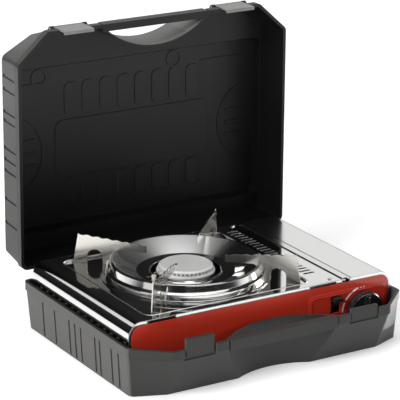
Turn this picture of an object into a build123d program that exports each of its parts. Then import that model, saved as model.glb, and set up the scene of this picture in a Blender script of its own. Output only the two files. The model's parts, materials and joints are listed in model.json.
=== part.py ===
from build123d import *
import os
from math import atan2, cos, degrees, hypot, radians, sin

os.makedirs("parts", exist_ok=True)

# Case: two moulded halves that meet at the rim
case_width = 395.0
case_depth = 307.0
tray_height = 62.0
lid_depth = 54.0
lid_crown = 13.0
case_wall = 2.6
rim_gap = 0.4
rim_band = 11.0
rim_proud = 1.5
corner_x = 42.0
corner_y = 38.0
corner_radius = 9.0
side_draft = 4.6
back_draft = 5.0
tray_front_lean = 22.0
lid_front_lean = 15.0
crown_left_room = 3.0
crown_right_room = 0.8
crown_slope = 4.5
crown_right_slope = 1.2
crown_front_room = 57.0
crown_back_room = 24.5

# Carrying handle: a bar across a crescent finger space
finger_reach = 35.0
latch_zone = 76.0
bar_land = 7.0
bar_thickness = 9.5
bar_height = 15.0

# Mouldings of the case
groove_places = (-92.0, -75.0, -46.0, -34.0, 2.0, 17.0, 32.0, 70.0, 102.0)
groove_width = 4.0
groove_depth = 1.2
groove_margin = 3.0
bead_height = 1.0
bead_width = 2.6
emboss_x = 1.0
emboss_shift = 5.75
emboss_side_room = 82.5
emboss_end_room = 74.25
emboss_corner = 12.0
finger_pad_count = 8
finger_pad_gap = 6.0
finger_pad_inset = 11.0
near_pad_room = 53.0
near_pad_length = 45.0
far_pad_room = 47.0
far_pad_length = 38.0
ring_bead_right = 63.0
ring_bead_side_room = 61.0
ring_bead_front_room = 76.5
ring_bead_radius = 11.5
oval_room = 20.5
oval_half_width = 46.0
oval_half_depth = 53.0
oval_rib_length = 28.0
oval_rib_width = 4.0
oval_rib_room = 40.5
oval_rib_places = (-17.0, 0.0, 17.0)
line_gap = 3.0
line_left_room = 16.5
line_left_length = 48.0
line_right_room = 27.5
line_right_length = 66.0

# Case hinge
hinge_back = 6.5
hinge_rise = 4.5
hinge_room = 87.5
hinge_pin_radius = 2.5
knuckle_radius = 5.5
knuckle_width = 20.0
lug_width = 7.0
hinge_side_gap = 0.4
hinge_root = 16.0
lid_root_rise = 12.0
pin_clearance = 0.05

# Latches
latch_corner_room = 37.5
latch_width = 41.0
latch_plate = 2.1
latch_gap = 0.5
latch_seat = 1.1
latch_rise = 18.0
latch_inset = 0.8
latch_barrel = 2.4
latch_pin_radius = 1.2
latch_ear = 5.0
latch_ear_radius = 2.8
ear_low_rise = 12.0
ear_high_rise = 26.0
ear_root = 1.0
catch_width = 38.5
catch_depth = 6.0
catch_drop = 10.0
left_catch_rise = 12.5
right_catch_rise = 4.5
catch_slot = 2.4
catch_rib = 2.6
hook_reach = 1.6
hook_height = 3.0
hook_gap = 0.6
catch_room = 1.0

# Stove body
stove_x = 0.5
stove_side_room = 7.5
stove_front_room = 48.5
stove_back_room = 11.5
plate_top = 87.5
sheet = 0.9
shoulder_radius = 18.0
skirt_low = 60.0
lip_height = 4.0
stand_gap = 0.3
foot_height = 9.0
foot_radius = 8.0
foot_inset = 24.0
body_gap = 0.3
base_wall_top = 70.0
bay_wall_top = 66.0
front_lip_top = 20.0

# Top plate: recess round the burner, vents and the cover's edge
burner_shift = 2.0
recess_left_room = 31.5
recess_right_room = 15.0
recess_front_room = 11.0
recess_back_room = 14.0
recess_depth = 2.5
recess_corner = 13.0
burner_hole_radius = 75.0
vent_count = 21
vent_front_room = 41.0
vent_back_room = 26.0
vent_length = 16.0
vent_width = 3.6
vent_room = 27.2
hinge_gap = 4.6
edge_flange = 6.0

# Cartridge cover and bay
cover_width = 70.3
cover_axis_drop = 3.9
cover_edge_inset = 1.0
cover_roll = 3.2
cover_rod_radius = 1.5
cover_ear = 1.5
cover_ear_inset = 3.0
cover_ear_reach = 2.8
cover_ear_low_drop = 7.5
cover_ear_high_drop = 1.3
cover_notch = 4.3
cover_side_gap = 0.4
cover_side_low = 63.0
cover_lip_start = 7.0
cover_rib_start = 8.8
cover_rib_width = 2.4
cover_rib_depth = 0.4
shield_room = 25.7
shield_front_room = 5.0
shield_top_gap = 0.3
shield_foot = 9.0
shield_tab = 16.0
shield_tab_length = 9.0
plate_screw_room = 16.2
cartridge_room = 44.5
cartridge_z = 52.0
cartridge_radius = 33.0
guide_gap = 0.5
guide_width = 36.0
guide_length = 12.0
guide_front_room = 85.0
guide_back_room = 57.0

# Pan support and burner, drawn for one foot radius and scaled to the recess
drawn_foot_radius = 148.0
fin_room = 3.1
ring_sheet = 1.0
ring_top = 104.0
ring_flange = 107.0
ring_skirt = 102.0
ring_skirt_top = 101.0
ring_step = 96.7
ring_step_low = 93.2
ring_step_high = 94.8
ring_bead_outer = 94.6
ring_bead_inner = 91.4
bowl_radius = 62.0
bowl_floor = 89.7
bowl_edge = 46.3
bowl_edge_z = 88.9
bowl_lip = 44.2
bowl_lip_z = 90.9
ring_bend = 1.2
fin_sheet = 1.2
fin_tip_radius = 141.5
fin_tip_z = 124.5
fin_inner_radius = 51.0
fin_inner_z = 116.5
fin_low_z = 107.0
fin_low_radius = 88.0
fin_teeth = 7
fin_tooth_depth = 1.5
fin_arch_radius = 10.2
fin_arch_at = 119.2
fin_arch_z = 94.6
fin_gap = 0.3
fin_turn = -1.8
quarter_turn = 90
first_fin = 45

# Burner
cap_radius = 34.3
cap_top = 99.0
cap_rim = 97.0
cap_flat = 31.5
cap_collar_radius = 36.8
cap_collar_top = 91.6
cap_neck = 92.6
cap_wall = 2.2
cap_low = 89.0
cap_seat = 28.5
port_count = 40
port_width = 2.0
port_height = 2.6
port_low = 93.4
cap_screw_x = -15.0
cap_screw_length = 14.0
cap_boss = 3.2
cup_radius = 31.0
cup_low = 68.0
cup_base_radius = 14.0
cup_shoulder = 80.0
cup_rim_low = 86.0
tube_z = 78.0
cup_wall = 2.0
tube_radius = 8.0
tube_bore = 6.6
tube_start = 34.0
tube_end_gap = 14.0
spigot_start = 8.0
spigot_end = 46.0
spigot_wall = 1.4
fit_gap = 0.05
nozzle_radius = 6.3
nozzle_lap = 6.0
nozzle_depth = 6.0
nozzle_bore = 0.6
tube_room = 0.8
bracket_left = 23.0
bracket_right = 10.0
bracket_half_span = 18.0
bracket_foot = 12.0
bracket_sheet = 1.2

# Gas valve, knob and igniter
knob_room = 44.0
knob_z = 43.0
knob_radius = 25.0
knob_depth = 13.0
knob_gap = 2.2
knob_grip = 4.0
knob_grip_width = 9.0
knob_edge = 1.5
spindle_radius = 4.0
spindle_hole = 5.0
spindle_depth = 22.0
spindle_grip = 8.0
valve_left_room = 64.5
valve_right_room = 20.5
valve_depth = 45.0
valve_low = 22.0
valve_high = 60.0
socket_radius = 14.0
socket_length = 6.0
socket_bore = 5.0
socket_depth = 12.0
outlet_depth = 37.0
outlet_z = 42.0
valve_screw_spread = 15.0
valve_screw_length = 9.0
piezo_room = 58.0
piezo_size = 9.0
piezo_front_room = 7.0
piezo_depth = 33.0
plunger_radius = 2.5
plunger_length = 4.0
igniter_gap = 13.7
igniter_offset = 4.0
ceramic_radius = 3.0
ceramic_low = 74.0
ceramic_high = 93.0
collar_radius = 4.4
collar_height = 2.0
electrode_radius = 0.8
electrode_rise = 3.0
electrode_reach = 9.5
electrode_bend = 1.5
igniter_notch = 12.0
igniter_notch_room = 8.0
igniter_foot = 7.5
igniter_foot_gap = 0.5
igniter_strap_z = 80.0
igniter_strap_width = 10.0
igniter_strap_end = 6.0
lead_radius = 1.1
lead_hole = 3.0
lead_bends = (14.0, 40.0, 24.0, 24.0, 4.0)
lead_drop_z = 50.0
lead_floor_z = 28.0
lead_left = 32.0
lead_near = 77.0
lead_right_room = 24.5
lead_turn_depth = 39.0
lead_rise_room = 10.5
lead_depth = 43.0
lead_end_gap = 0.3

# Cartridge lock: lever in a slot, with a slanted cam that draws the pusher forward
lever_room = 14.2
lever_z = 64.5
lever_travel = 15.0
lever_width = 12.0
lever_height = 5.0
lever_reach = 8.0
lever_slot_width = 14.0
lever_slot_margin = 1.5
lever_shank_width = 9.0
lever_plate_height = 20.0
lever_plate_width = 18.0
lever_plate = 1.4
lever_plate_gap = 0.4
lever_arm_drop = 4.5
lever_arm_shift = 2.5
lever_arm_width = 2.0
lever_arm_height = 5.0
lever_arm_end = 2.0
lever_pin_reach = 4.5
lever_pin_radius = 1.5
lever_pin_depth = 21.0
pusher_travel = 8.0
cam_gap = 0.15
cam_plate = 1.4
cam_margin = 5.0
cam_shift = 1.0
pusher_strip_width = 9.0
pusher_room = 9.0
pusher_plate_height = 56.0
pusher_plate_width = 44.0
pusher_bar = 10.0

# Front panel
panel_sheet = 1.0
panel_low = 14.0
panel_gap = 0.4
pad_left_room = 124.0
pad_right_room = 7.0
pad_low = 17.0
pad_top = 73.0
pad_proud = 1.2
pad_radius = 8.0
ridge_inset = 3.0
ridge_width = 1.6
ridge_height = 0.6

# Small screws
screw_radius = 1.4
screw_hole = 1.5
screw_head = 3.0
screw_head_height = 1.2
screw_length = 6.0
floor_screw_length = 4.0

# Places that follow from the sizes above
half_width = case_width / 2
front = -case_depth / 2
back = case_depth / 2
band_low = tray_height - rim_band
lid_rim = tray_height + rim_gap
lid_band = lid_rim + rim_band
lid_face = lid_rim + lid_depth
corner_end = half_width - corner_x
finger_half_span = corner_end - latch_zone
finger_radius = (finger_half_span**2 + finger_reach**2) / (2 * finger_reach)
finger_y = front + finger_reach - finger_radius
bar_inner = finger_radius - finger_reach + bar_thickness
bar_half_length = (finger_radius**2 - bar_inner**2) ** 0.5 + bar_land
panel_z = lid_face + lid_crown - case_wall
crown_front = -front - crown_front_room
crown_back = back - crown_back_room
crown_y = (crown_back - crown_front) / 2
crown_left = side_draft + crown_left_room - half_width
crown_right = half_width - side_draft - crown_right_room
emboss_y = crown_y + emboss_shift
emboss_width = case_width - 2 * emboss_side_room
emboss_depth = crown_front + crown_back - 2 * emboss_end_room
finger_pad_pitch = (emboss_width - 2 * finger_pad_inset) / finger_pad_count
finger_pad_width = finger_pad_pitch - finger_pad_gap
finger_pad_corner = 2 * finger_pad_width / 5
near_pad_y = near_pad_room - crown_front
far_pad_y = crown_back - far_pad_room
ring_bead_y = front + ring_bead_front_room
ring_bead_places = ((ring_bead_right, ring_bead_y), (ring_bead_side_room - half_width, ring_bead_y))
line_y = near_pad_y - near_pad_length / 2 - line_gap
line_left_x = line_left_room + line_left_length / 2 - half_width
line_right_x = half_width - line_right_room - line_right_length / 2
oval_x = half_width - oval_room
oval_rib_x = half_width - oval_rib_room
hinge_x = half_width - hinge_room
hinge_y = back + hinge_back
hinge_z = tray_height + hinge_rise
lid_root_z = tray_height + lid_root_rise
latch_x = corner_end - latch_corner_room
latch_z = tray_height + latch_rise
ear_low = tray_height + ear_low_rise
ear_high = tray_height + ear_high_rise
catch_low = tray_height - catch_drop
stove_width = case_width - 2 * stove_side_room
stove_left = stove_x - stove_width / 2
stove_right = stove_x + stove_width / 2
stove_front = front + stove_front_room
stove_back = back - stove_back_room
stove_depth = stove_back - stove_front
cover_axis_x = stove_right - cover_width
cover_axis_z = plate_top - cover_axis_drop
cover_ear_low = plate_top - cover_ear_low_drop
cover_ear_high = plate_top - cover_ear_high_drop
cover_rib_x = cover_axis_x + cover_rib_start
plate_edge = cover_axis_x - hinge_gap
shield_x = cover_axis_x - shield_room
shield_front = stove_front + shield_front_room
plate_screw_x = cover_axis_x - plate_screw_room
cartridge_x = stove_right - cartridge_room
guide_places = (stove_front + guide_front_room, stove_back - guide_back_room)
vent_x = cover_axis_x - vent_room
vent_first = stove_front + vent_front_room
vent_last = stove_back - vent_back_room
vent_y = (vent_first + vent_last) / 2
vent_pitch = (vent_last - vent_first) / (vent_count - 1)
recess_left = stove_left + recess_left_room
recess_right = vent_x - recess_right_room
recess_front = stove_front + recess_front_room
recess_back = stove_back - recess_back_room
recess_x = (recess_left + recess_right) / 2
recess_y = (recess_front + recess_back) / 2
recess_width = recess_right - recess_left
recess_length = recess_back - recess_front
burner_x = recess_x + burner_shift
burner_y = recess_y
fin_side_room = min(recess_right - burner_x, recess_length / 2) - fin_room
fin_foot_radius = fin_side_room / cos(radians(first_fin - abs(fin_turn)))
support_scale = fin_foot_radius / drawn_foot_radius
base_low = case_wall + stand_gap + foot_height
base_floor = base_low + sheet
recess_floor = plate_top - recess_depth
support_low = recess_floor + fin_gap
bracket_low = cup_low - bracket_sheet
panel_back = stove_front + panel_sheet
pad_face = stove_front - pad_proud
panel_left = stove_left + lip_height + panel_gap
panel_right = stove_right - lip_height - panel_gap
panel_top = plate_top - lip_height - panel_gap
panel_corner = shoulder_radius - lip_height - panel_gap
knob_back = pad_face - knob_gap
knob_face = knob_back - knob_depth + knob_grip
strip_low = base_floor + stand_gap
strip_high = strip_low + cam_plate
latch_y = front + latch_inset
hook_low = catch_low - hook_gap - hook_height
latch_inner = front + latch_seat
catch_face = latch_inner + latch_gap
base_left = stove_left + sheet + body_gap
base_right = stove_right - sheet - body_gap
base_front = panel_back + body_gap
base_back = stove_back - sheet - body_gap
ear_front = stove_front + cover_ear_inset
ear_back = stove_back - cover_ear_inset
shield_back = base_back - sheet - body_gap
plate_screw_places = (
    (plate_screw_x, shield_front + shield_tab_length / 2),
    (plate_screw_x, shield_back - shield_tab_length / 2),
)
bracket_x = (burner_x - bracket_left, burner_x + bracket_right)
bracket_near = burner_y - bracket_half_span
bracket_far = burner_y + bracket_half_span
knob_x = stove_right - knob_room
valve_left = stove_right - valve_left_room
valve_right = stove_right - valve_right_room
valve_back = stove_front + valve_depth
outlet_y = stove_front + outlet_depth
piezo_x = stove_right - piezo_room
piezo_front = stove_front + piezo_front_room
piezo_back = stove_front + piezo_depth
igniter_reach = support_scale * cap_radius + igniter_gap
igniter_x = burner_x - igniter_reach
igniter_y = burner_y - igniter_offset
lead_y = stove_front + lead_depth
lever_x = cover_axis_x - lever_room
lever_arm_x = lever_x - lever_arm_shift
lever_pin_end = lever_x + lever_pin_reach
lever_pin_y = stove_front + lever_pin_depth
cam_x = lever_x + cam_shift
pusher_back = stove_back - pusher_room
pad_left = stove_right - pad_left_room
pad_right = stove_right - pad_right_room
slot_low = lever_z - lever_height / 2 - lever_travel - lever_slot_margin
slot_high = lever_z + lever_height / 2 + lever_slot_margin
lever_pin_z = lever_z - lever_arm_drop
piezo_z = valve_high + piezo_size / 2

# The lid is drawn in the closed case's coordinates on a plane that stands it open
lid_plane = Plane(
    origin=(0, hinge_y - hinge_z, hinge_y + hinge_z), x_dir=(1, 0, 0), z_dir=(0, 1, 0)
)

# Axis of the mixing tube, from the middle of the burner to the valve's outlet
tube_from = Vector(burner_x, burner_y, tube_z)
tube_run = Vector(valve_left, outlet_y, outlet_z) - tube_from
tube_plane = Plane(origin=tube_from, z_dir=tube_run)
tube_end = tube_run.length - tube_end_gap


def finish(builder, name):
    builder.part.label = name
    export_step(builder.part, f"parts/{name}.step")


def case_outline(half, near, far, cut_y, inset=0.0):
    """Rectangle with two cut front corners, all corners rounded."""
    with BuildSketch() as outline:
        with BuildLine():
            Polyline(
                (-half, far),
                (-half, near + cut_y),
                (-half + corner_x, near),
                (half - corner_x, near),
                (half, near + cut_y),
                (half, far),
                close=True,
            )
        make_face()
        fillet(outline.vertices(), corner_radius)
        if inset:
            offset(amount=-inset, mode=Mode.REPLACE)
    return outline.sketch


def rim_outline(inset=0.0):
    return case_outline(half_width, front, back, corner_y, inset)


def far_outline(front_lean, inset=0.0):
    """Outline of a case half at its floor, drawn in by the walls' lean."""
    return case_outline(
        half_width - side_draft,
        front + front_lean,
        back - back_draft,
        corner_y - front_lean,
        inset,
    )


def crown_outline(inset, slope, right_slope):
    """Outline of the lid's crown, steeper at the right than on its other sides."""
    left = crown_left + inset + slope
    right = crown_right - inset - right_slope
    with BuildSketch() as outline:
        with Locations(((left + right) / 2, crown_y)):
            RectangleRounded(right - left, crown_front + crown_back - 2 * (inset + slope), corner_radius)
    return outline.sketch


def bent_sheet(plane, edge, side, thickness, low):
    """Flat top from edge to side, rounded over the shoulder and down to low."""
    turn = 1 if side > edge else -1
    centre_x = side - turn * shoulder_radius
    centre_z = plate_top - shoulder_radius
    inner = shoulder_radius - thickness
    slant = sin(radians(45))
    with BuildSketch(plane) as section:
        with BuildLine():
            Line((edge, plate_top), (centre_x, plate_top))
            ThreePointArc(
                (centre_x, plate_top),
                (centre_x + turn * shoulder_radius * slant, centre_z + shoulder_radius * slant),
                (side, centre_z),
            )
            Line((side, centre_z), (side, low))
            Line((side, low), (side - turn * thickness, low))
            Line((side - turn * thickness, low), (side - turn * thickness, centre_z))
            ThreePointArc(
                (side - turn * thickness, centre_z),
                (centre_x + turn * inner * slant, centre_z + inner * slant),
                (centre_x, plate_top - thickness),
            )
            Line((centre_x, plate_top - thickness), (edge, plate_top - thickness))
            Line((edge, plate_top - thickness), (edge, plate_top))
        make_face()
    return section.sketch


def end_sheet(plane, edge, side, low):
    """Flat end from edge to side under the rounded shoulder."""
    with BuildSketch(plane) as section:
        with Locations(((edge + side) / 2, (low + plate_top) / 2)):
            Rectangle(abs(side - edge), plate_top - low)
        fillet(section.vertices().sort_by_distance((side, plate_top))[0], shoulder_radius)
    return section.sketch


def span(x, y, z, mode=Mode.ADD):
    """Box between two limits along each axis."""
    with Locations((x[0], y[0], z[0])):
        Box(
            x[1] - x[0],
            y[1] - y[0],
            z[1] - z[0],
            align=(Align.MIN, Align.MIN, Align.MIN),
            mode=mode,
        )


def rod(plane, radius, length, mode=Mode.ADD):
    """Round bar standing on a plane."""
    with Locations(plane):
        Cylinder(radius, length, align=(Align.CENTER, Align.CENTER, Align.MIN), mode=mode)


def facing_back(x, y, z):
    return Plane(origin=(x, y, z), z_dir=(0, 1, 0))


def facing_right(x, y, z):
    return Plane(origin=(x, y, z), z_dir=(1, 0, 0))


def lid_section(x):
    """Upright section of the lid in closed y and z."""
    return Plane(
        origin=(x, hinge_y - hinge_z, hinge_y + hinge_z), x_dir=(0, 0, -1), z_dir=(1, 0, 0)
    )


def lid_front(z):
    """Middle of the lid's leaning front wall at a height."""
    lean = (lid_front_lean - rim_proud) / (lid_face - lid_band)
    return front + rim_proud + lean * (z - lid_band) + case_wall / 2


def side_grooves(plane, low, high, low_half, high_half):
    """Grooves across both leaning side walls, between two heights."""
    lean = degrees(atan2(high_half - low_half, high - low))
    middle = (low_half + high_half) / 2
    length = hypot(high - low, high_half - low_half) - 2 * groove_margin
    for side in (-1, 1):
        places = [
            plane * Location((side * middle, y, (low + high) / 2), (0, side * lean, 0))
            for y in groove_places
        ]
        with Locations(*places):
            Box(2 * groove_depth, groove_width, length, mode=Mode.SUBTRACT)


def hinge_arm(plane, root_z):
    """Rounded arm from a back wall out to the hinge axis."""
    with BuildSketch(plane) as arm:
        with Locations((hinge_y, hinge_z)):
            Circle(knuckle_radius)
        with Locations((back - case_wall / 2, root_z)):
            Rectangle(case_wall, hinge_root)
        make_hull()
    return arm.sketch


def screw_at(x, y, z, length):
    """Round-head screw standing on a face at z, pointing down."""
    with Locations((x, y, z)):
        Cylinder(screw_head, screw_head_height, align=(Align.CENTER, Align.CENTER, Align.MIN))
        Cylinder(screw_radius, length, align=(Align.CENTER, Align.CENTER, Align.MAX))


# Case tray
with BuildPart() as tray_cavity:
    with BuildSketch(Plane.XY.offset(case_wall)):
        add(far_outline(tray_front_lean, case_wall))
    with BuildSketch(Plane.XY.offset(tray_height)):
        add(rim_outline(case_wall + rim_proud))
    loft(ruled=True)
    with Locations((0, finger_y, tray_height / 2)):
        Cylinder(finger_radius + case_wall, 2 * tray_height, mode=Mode.SUBTRACT)

with BuildPart() as case_tray:
    with BuildSketch():
        add(far_outline(tray_front_lean))
    with BuildSketch(Plane.XY.offset(band_low)):
        add(rim_outline(rim_proud))
    loft(ruled=True)
    with BuildSketch(Plane.XY.offset(band_low)):
        add(rim_outline())
    extrude(amount=rim_band)
    add(tray_cavity.part, mode=Mode.SUBTRACT)
    with Locations((0, finger_y, tray_height / 2)):
        Cylinder(finger_radius, 2 * tray_height, mode=Mode.SUBTRACT)
    with Locations((0, front, tray_height)):
        Box(
            2 * bar_half_length,
            bar_thickness,
            bar_height,
            align=(Align.CENTER, Align.MIN, Align.MAX),
        )
    side_grooves(Plane.XY, 0, band_low, half_width - side_draft, half_width - rim_proud)
    # Catches for the latches, with a slot each side and a pocket for the hook
    pocket_back = catch_face + hook_reach + hook_gap
    pocket_low = catch_low - hook_height - 2 * hook_gap
    for x, rise in ((-latch_x, left_catch_rise), (latch_x, right_catch_rise)):
        slotted = (x - catch_width / 2 - catch_slot, x + catch_width / 2 + catch_slot)
        tongue = (x - catch_width / 2, x + catch_width / 2)
        span(slotted, (front, front + catch_depth), (catch_low, tray_height), Mode.SUBTRACT)
        span(tongue, (catch_face, front + catch_depth), (catch_low, tray_height + rise))
        span(slotted, (front, pocket_back), (pocket_low, catch_low), Mode.SUBTRACT)
        span(tongue, (pocket_back, pocket_back + catch_rib), (pocket_low, catch_low))
    # Hinge lugs either side of each lid knuckle
    for x in (-hinge_x, hinge_x):
        for side in (-1, 1):
            lug_x = x + side * (knuckle_width / 2 + hinge_side_gap + lug_width / 2)
            arm = hinge_arm(Plane.YZ.offset(lug_x), tray_height - hinge_root)
            extrude(arm, amount=lug_width / 2, both=True)
    # Room in front of the lugs for the back of the closed lid
    span(
        (-half_width, half_width),
        (back - case_wall, back + (hinge_back - knuckle_radius) / 2),
        (tray_height, hinge_z + knuckle_radius),
        Mode.SUBTRACT,
    )
    with Locations(Location((0, hinge_y, hinge_z), (0, 90, 0))):
        Cylinder(hinge_pin_radius + pin_clearance, case_width, mode=Mode.SUBTRACT)
finish(case_tray, "case_tray")

# Case lid, stood open
with BuildPart() as lid_cavity:
    with BuildSketch(lid_plane.offset(lid_rim)):
        add(rim_outline(case_wall + rim_proud))
    with BuildSketch(lid_plane.offset(lid_face - case_wall)):
        add(far_outline(lid_front_lean, case_wall))
    loft(ruled=True)
    with BuildSketch(lid_plane.offset(lid_face - case_wall)):
        add(crown_outline(case_wall, 0, 0))
    with BuildSketch(lid_plane.offset(panel_z)):
        add(crown_outline(case_wall, crown_slope, crown_right_slope))
    loft(ruled=True)
    with Locations(lid_plane * Location((0, finger_y, lid_face))):
        Cylinder(finger_radius + case_wall, 4 * lid_depth, mode=Mode.SUBTRACT)

with BuildPart() as case_lid:
    with BuildSketch(lid_plane.offset(lid_rim)):
        add(rim_outline())
    extrude(amount=rim_band)
    with BuildSketch(lid_plane.offset(lid_band)):
        add(rim_outline(rim_proud))
    with BuildSketch(lid_plane.offset(lid_face)):
        add(far_outline(lid_front_lean))
    loft(ruled=True)
    with BuildSketch(lid_plane.offset(lid_face)):
        add(crown_outline(0, 0, 0))
    with BuildSketch(lid_plane.offset(lid_face + lid_crown)):
        add(crown_outline(0, crown_slope, crown_right_slope))
    loft(ruled=True)
    add(lid_cavity.part, mode=Mode.SUBTRACT)
    with Locations(lid_plane * Location((0, finger_y, lid_face))):
        Cylinder(finger_radius, 4 * lid_depth, mode=Mode.SUBTRACT)
    with Locations(lid_plane * Location((0, front, lid_rim))):
        Box(
            2 * bar_half_length,
            bar_thickness,
            bar_height,
            align=(Align.CENTER, Align.MIN, Align.MIN),
        )
    side_grooves(lid_plane, lid_band, lid_face, half_width - rim_proud, half_width - side_draft)
    # Seats for the latches in the rim
    with Locations(*[lid_plane * Location((x, front, lid_rim)) for x in (-latch_x, latch_x)]):
        Box(
            latch_width + 2 * hinge_side_gap,
            2 * (latch_seat + latch_gap),
            rim_band,
            align=(Align.CENTER, Align.CENTER, Align.MIN),
            mode=Mode.SUBTRACT,
        )
    # Openings for the catches
    with Locations(*[lid_plane * Location((x, front, lid_rim)) for x in (-latch_x, latch_x)]):
        Box(
            catch_width + 2 * catch_room,
            2 * (catch_depth + catch_room),
            max(left_catch_rise, right_catch_rise) + catch_room - rim_gap,
            align=(Align.CENTER, Align.CENTER, Align.MIN),
            mode=Mode.SUBTRACT,
        )
    # Ears for the latches
    for x in (-latch_x, latch_x):
        for side in (-1, 1):
            ear_x = x + side * (latch_width / 2 + hinge_side_gap + latch_ear / 2)
            with BuildSketch(lid_section(ear_x)):
                with Locations((latch_y, latch_z)):
                    Circle(latch_ear_radius)
                with Locations((lid_front(ear_low), ear_low), (lid_front(ear_high), ear_high)):
                    Circle(ear_root)
                make_hull()
            extrude(amount=latch_ear / 2, both=True)
    with Locations(lid_plane * Location((0, latch_y, latch_z), (0, 90, 0))):
        Cylinder(latch_pin_radius + pin_clearance, case_width, mode=Mode.SUBTRACT)
    # Hinge knuckles
    for x in (-hinge_x, hinge_x):
        extrude(hinge_arm(lid_section(x), lid_root_z), amount=knuckle_width / 2, both=True)
    with Locations(Location((0, hinge_y, hinge_z), (0, 90, 0))):
        Cylinder(hinge_pin_radius + pin_clearance, case_width, mode=Mode.SUBTRACT)
    # Raised mouldings inside
    with BuildSketch(lid_plane.offset(panel_z)):
        with Locations(*ring_bead_places):
            Circle(ring_bead_radius)
            Circle(ring_bead_radius - bead_width, mode=Mode.SUBTRACT)
        for side in (-1, 1):
            with Locations((side * oval_x, emboss_y)):
                Ellipse(oval_half_width, oval_half_depth)
                Ellipse(oval_half_width - bead_width, oval_half_depth - bead_width, mode=Mode.SUBTRACT)
            with Locations((side * (oval_x + oval_half_width / 2), emboss_y)):
                Rectangle(oval_half_width, 2 * oval_half_depth, mode=Mode.SUBTRACT)
            with Locations(*[(side * oval_rib_x, emboss_y + y) for y in oval_rib_places]):
                Rectangle(oval_rib_length, oval_rib_width)
        with Locations((line_left_x, line_y)):
            Rectangle(line_left_length, bead_width)
        with Locations((line_right_x, line_y)):
            Rectangle(line_right_length, bead_width)
        with Locations((emboss_x, emboss_y)):
            RectangleRounded(emboss_width, emboss_depth, emboss_corner)
        with Locations((emboss_x, near_pad_y)):
            with GridLocations(finger_pad_pitch, 1, finger_pad_count, 1):
                RectangleRounded(finger_pad_width, near_pad_length, finger_pad_corner)
        with Locations((emboss_x, far_pad_y)):
            with GridLocations(finger_pad_pitch, 1, finger_pad_count, 1):
                RectangleRounded(finger_pad_width, far_pad_length, finger_pad_corner)
    extrude(amount=-bead_height)
finish(case_lid, "case_lid")

# Hinge pins of the case
pin_length = knuckle_width + 2 * (hinge_side_gap + lug_width)
with BuildPart() as lid_hinge_pins:
    for x in (-hinge_x, hinge_x):
        rod(facing_right(x - pin_length / 2, hinge_y, hinge_z), hinge_pin_radius, pin_length)
finish(lid_hinge_pins, "lid_hinge_pins")


def latch_profile(x):
    """Flap hung from its barrel, with a hook at the lower end."""
    with BuildSketch(lid_section(x)) as profile:
        with Locations((latch_y, latch_z)):
            Circle(latch_barrel)
        with Locations((latch_inner, hook_low)):
            Rectangle(latch_plate, latch_z - hook_low, align=(Align.MAX, Align.MIN))
        with Locations((latch_inner - latch_plate, hook_low)):
            Rectangle(latch_plate + latch_gap + hook_reach, hook_height, align=(Align.MIN, Align.MIN))
        with Locations((latch_y, latch_z)):
            Circle(latch_pin_radius + pin_clearance, mode=Mode.SUBTRACT)
    return profile.sketch


# Latches on the front of the lid
with BuildPart() as latch_left:
    extrude(latch_profile(-latch_x), amount=latch_width / 2, both=True)
finish(latch_left, "latch_left")

with BuildPart() as latch_right:
    extrude(latch_profile(latch_x), amount=latch_width / 2, both=True)
finish(latch_right, "latch_right")

# Latch pins
latch_pin_length = latch_width + 2 * (hinge_side_gap + latch_ear)
with BuildPart() as latch_pins:
    with Locations(
        *[lid_plane * Location((x, latch_y, latch_z), (0, 90, 0)) for x in (-latch_x, latch_x)]
    ):
        Cylinder(latch_pin_radius, latch_pin_length)
finish(latch_pins, "latch_pins")

# Base pan: floor, walls on three sides and a low lip in front
with BuildPart() as base_pan:
    span((base_left, base_right), (base_front, base_back), (base_low, base_floor))
    span((base_left, base_left + sheet), (base_front, base_back), (base_low, base_wall_top))
    span((base_left, base_right), (base_back - sheet, base_back), (base_low, base_wall_top))
    span((base_right - sheet, base_right), (base_front, base_back), (base_low, bay_wall_top))
    span((base_left, base_right), (base_front, base_front + sheet), (base_low, front_lip_top))
    for y in (bracket_near - bracket_foot / 2, bracket_far + bracket_foot / 2):
        rod(Plane(origin=(burner_x, y, base_low)), screw_hole, sheet, Mode.SUBTRACT)
finish(base_pan, "base_pan")

# Rubber feet
with BuildPart() as stove_feet:
    for x in (stove_left + foot_inset, stove_right - foot_inset):
        for y in (stove_front + foot_inset, stove_back - foot_inset):
            rod(Plane(origin=(x, y, case_wall + stand_gap)), foot_radius, foot_height)
finish(stove_feet, "stove_feet")

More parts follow.
